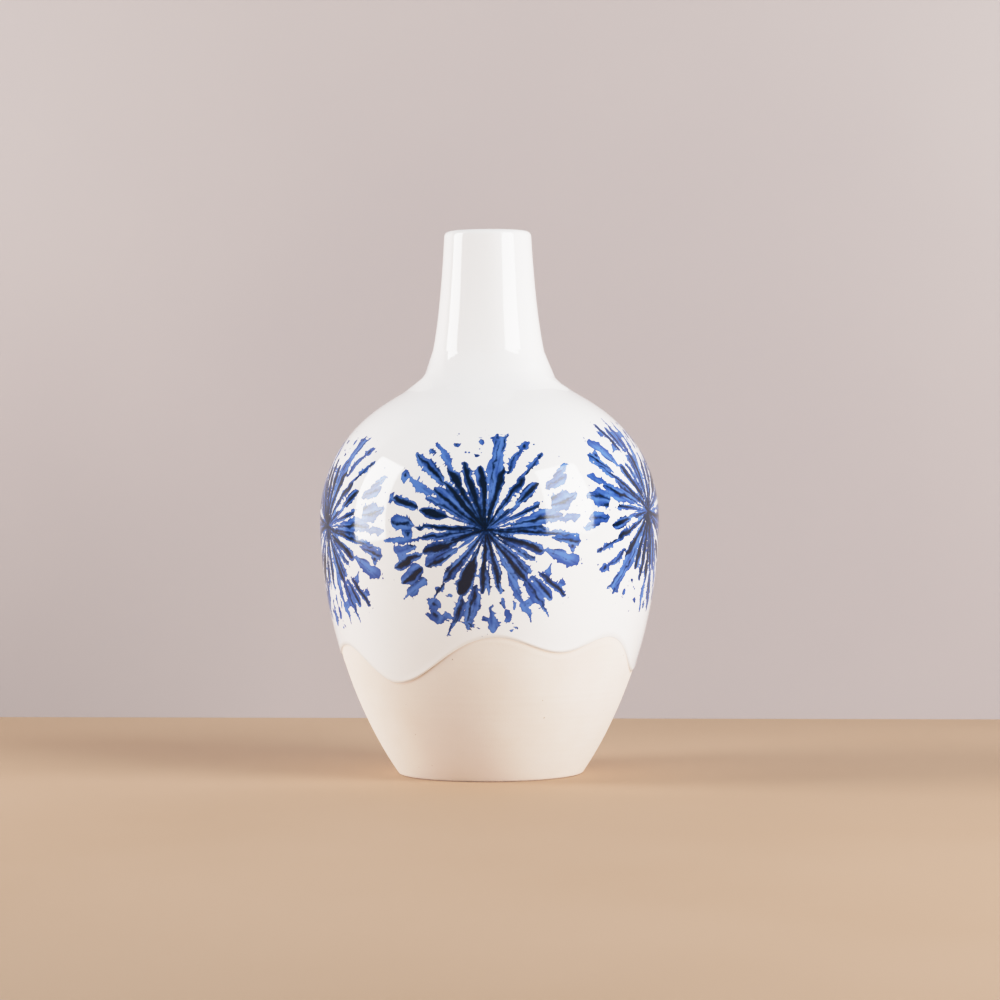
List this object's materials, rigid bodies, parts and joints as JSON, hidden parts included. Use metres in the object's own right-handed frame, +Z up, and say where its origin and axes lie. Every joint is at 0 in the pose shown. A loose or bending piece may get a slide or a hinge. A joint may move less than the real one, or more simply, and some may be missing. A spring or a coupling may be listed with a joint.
{
  "type": "bottle vase",
  "caption": "Tall bottle vase with a round belly, small foot and long neck, in white gloss glaze with a wavy lower edge over bare clay and blue inky bursts round the belly.",
  "frame": {"origin": "centre of the foot, on the surface that the vase stands on", "axes": "+Z up along the axis of the pot, -Y towards the front burst, +X to the right as seen from the front"},
  "size_m": [0.169, 0.1689, 0.2699],
  "materials": {
    "bare_clay": "matt, unglazed, warm off-white stoneware",
    "white_glaze": "high gloss, opaque white",
    "liner_glaze": "gloss, white",
    "blue_ink": "gloss, cobalt and navy"
  },
  "bodies": {
    "root": {"clay_body": "bare_clay", "outer_glaze": "white_glaze", "liner_glaze": "liner_glaze", "burst_front": "blue_ink", "burst_right": "blue_ink", "burst_back_right": "blue_ink", "burst_back_left": "blue_ink", "burst_left": "blue_ink"}
  },
  "joints": []
}
